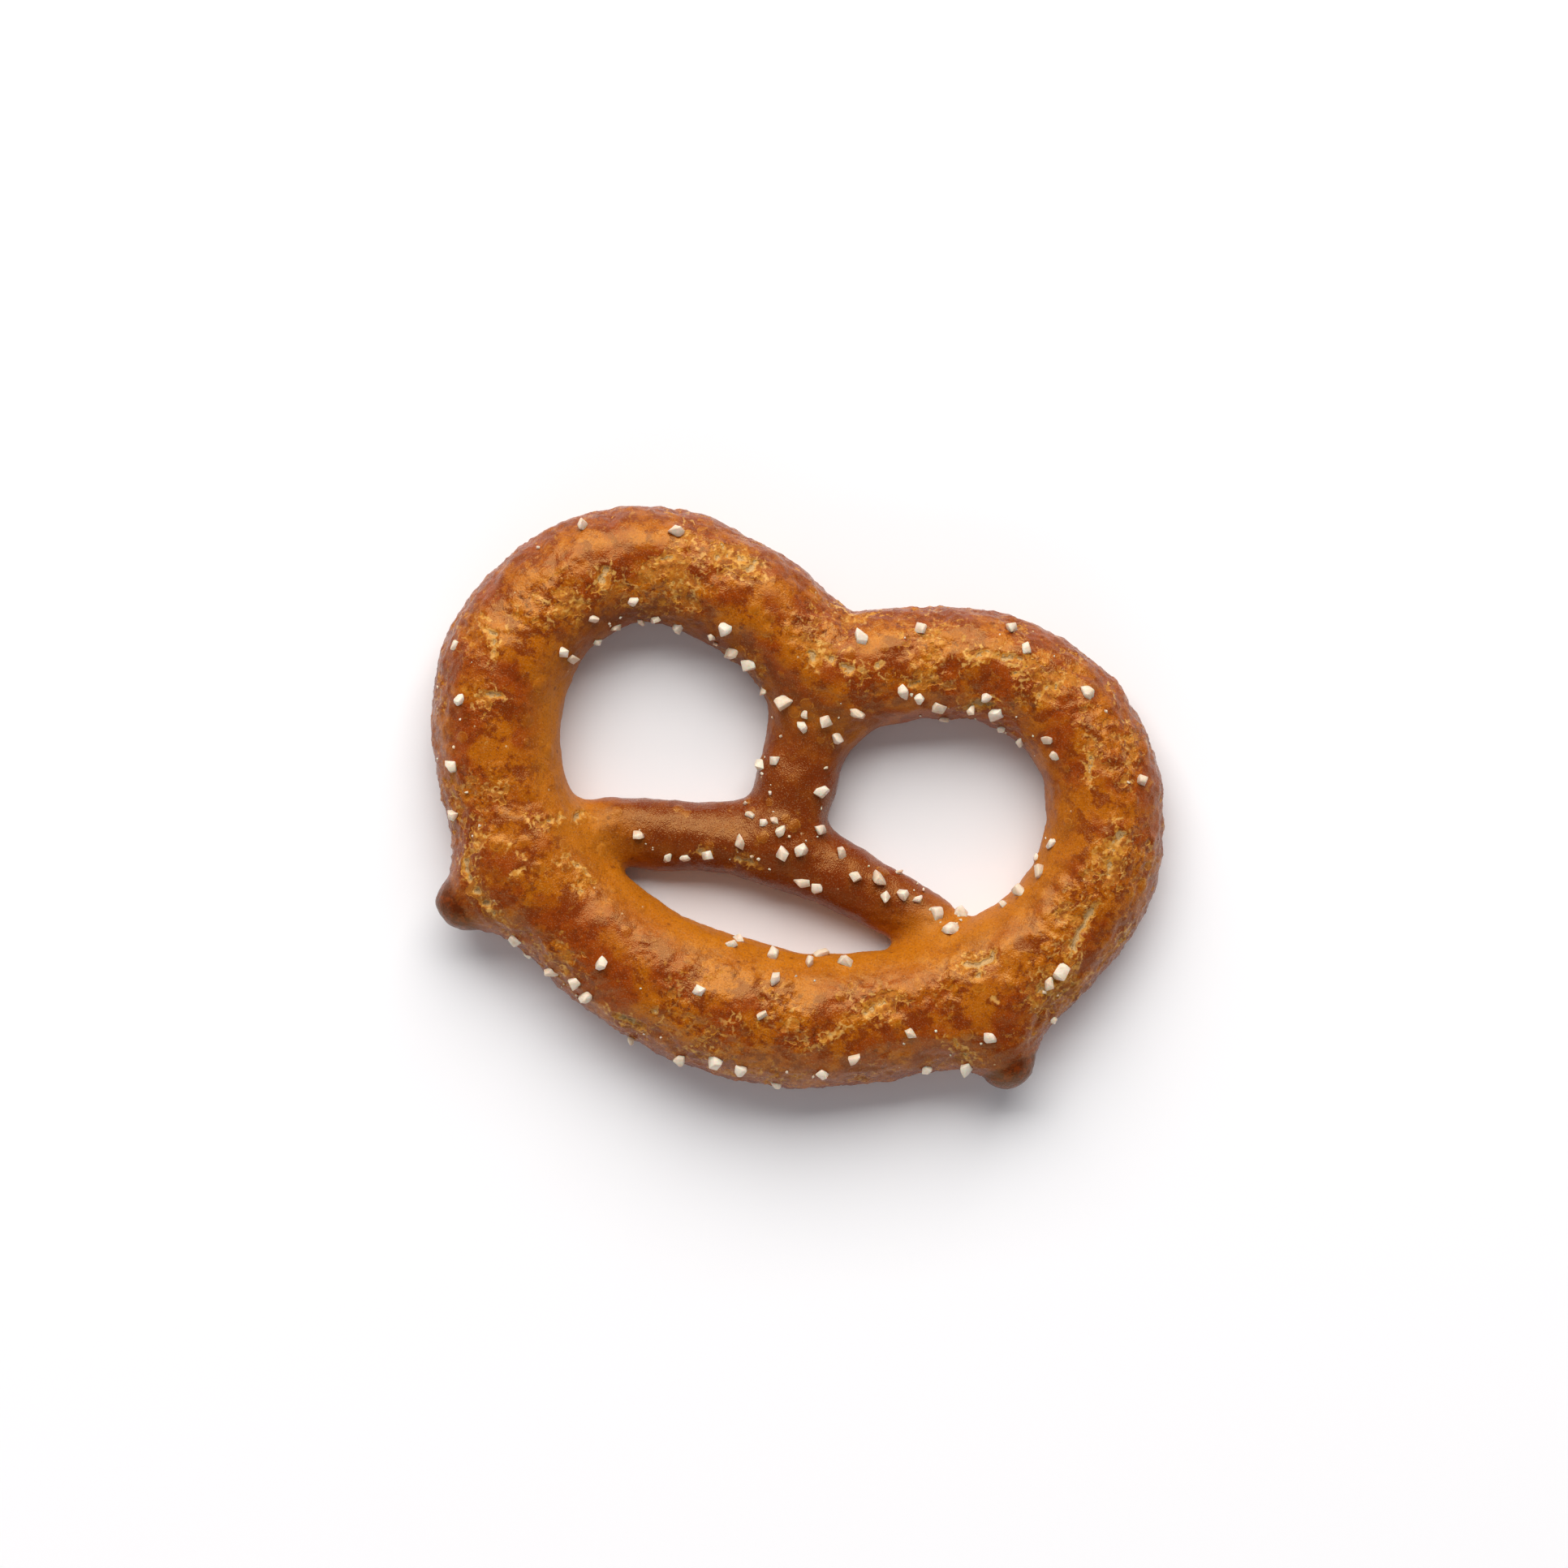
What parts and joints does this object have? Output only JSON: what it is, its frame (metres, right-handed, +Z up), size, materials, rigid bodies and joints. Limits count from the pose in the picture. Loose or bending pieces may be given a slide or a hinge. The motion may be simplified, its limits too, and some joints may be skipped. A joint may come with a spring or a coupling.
{
  "type": "crisp pretzel",
  "caption": "Small crisp salted pretzel, heart-shaped ring with a short trunk, two crossing arms and stubby tips, baked flat underneath.",
  "frame": {"origin": "on the flat underside's plane, under the middle of the outline", "axes": "+X to the pretzel's right along its width, +Y towards the two lobes, +Z up out of the baked top"},
  "size_m": [0.0458, 0.0326, 0.0069],
  "materials": {
    "crust": "glossy baked crust, amber brown, darker and redder on the arms, with pale cracks",
    "salt": "cream-white salt crystals"
  },
  "bodies": {
    "root": {"pretzel": "crust"}
  },
  "joints": []
}
